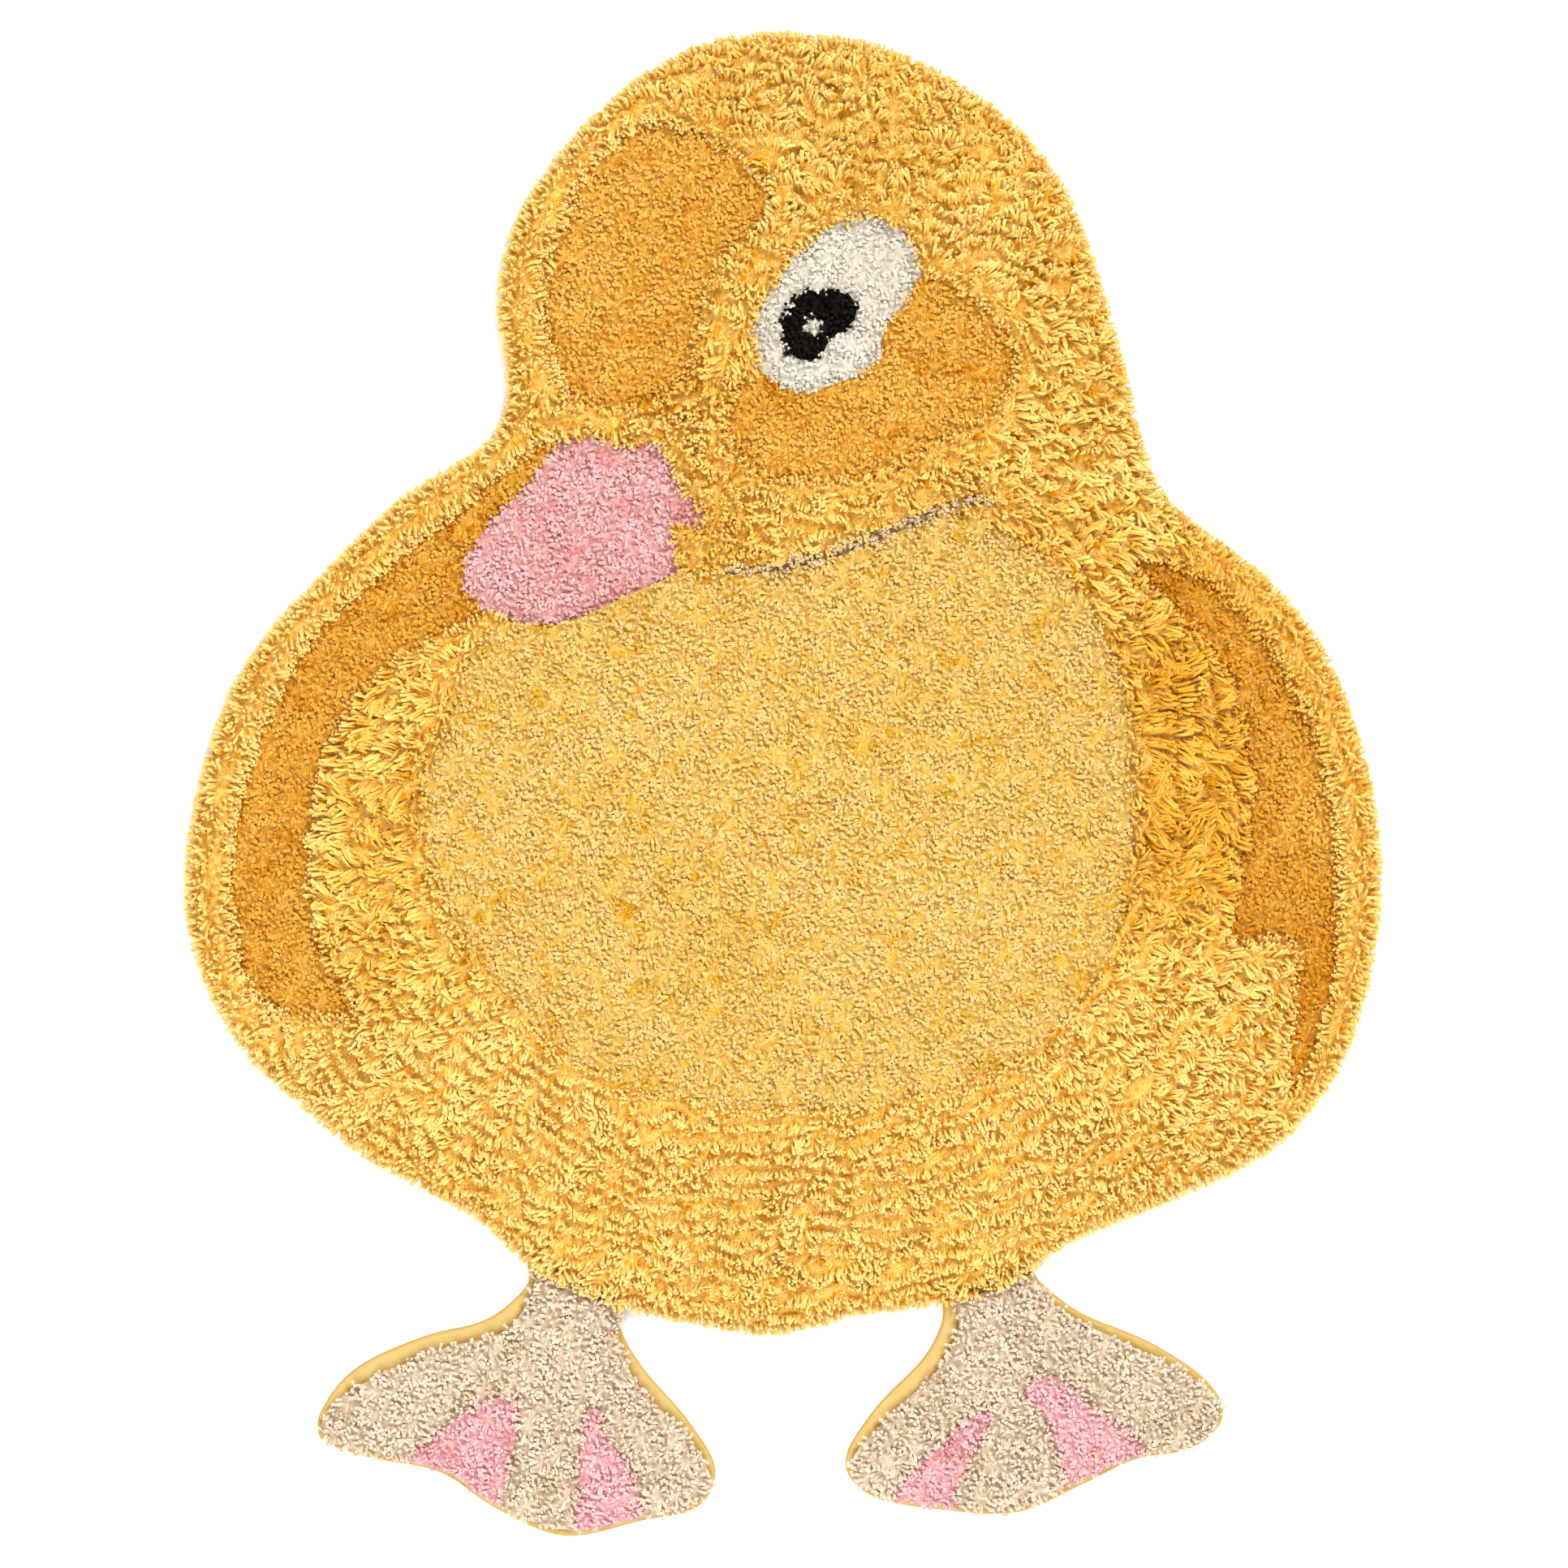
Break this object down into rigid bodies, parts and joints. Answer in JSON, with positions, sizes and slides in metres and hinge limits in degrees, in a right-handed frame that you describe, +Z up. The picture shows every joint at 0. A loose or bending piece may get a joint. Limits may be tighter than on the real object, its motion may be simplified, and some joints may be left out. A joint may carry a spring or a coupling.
{
  "type": "animal shaped kids rug",
  "caption": "Duckling-shaped tufted cotton play rug: long yellow shag body and head, short-pile belly, gold wings and face, eye, and webbed feet on a hemmed canvas.",
  "frame": {"origin": "on the floor under the middle of the rug's outline", "axes": "+Z up out of the pile, +Y from the feet towards the head, +X to the right as the duckling is looked down on"},
  "size_m": [0.9525, 1.1986, 0.0335],
  "materials": {
    "yellow_canvas": "matt woven cotton",
    "pale_yellow_shag": "long cut cotton yarn",
    "pale_yellow_pile": "short cut cotton pile",
    "gold_pile": "short cut cotton pile",
    "pink_pile": "short cut cotton pile",
    "web_pink_pile": "short cut cotton pile",
    "cream_pile": "short cut cotton pile",
    "black_pile": "short cut cotton pile",
    "taupe_pile": "short cut cotton pile",
    "beige_pile": "short cut cotton pile"
  },
  "bodies": {
    "root": {"base_cloth": "yellow_canvas", "shag_pile": "pale_yellow_shag", "belly_pile": "pale_yellow_pile", "face_gold": "gold_pile", "cheek_gold": "gold_pile", "wing_left": "gold_pile", "wing_right": "gold_pile", "throat_pink": "pink_pile", "mouth_line": "taupe_pile", "eye_white": "cream_pile", "pupil": "black_pile", "eye_spark": "cream_pile", "foot_left": "beige_pile", "foot_right": "beige_pile", "web_left_outer": "web_pink_pile", "web_left_inner": "web_pink_pile", "web_right_inner": "web_pink_pile", "web_right_outer": "web_pink_pile"}
  },
  "joints": []
}
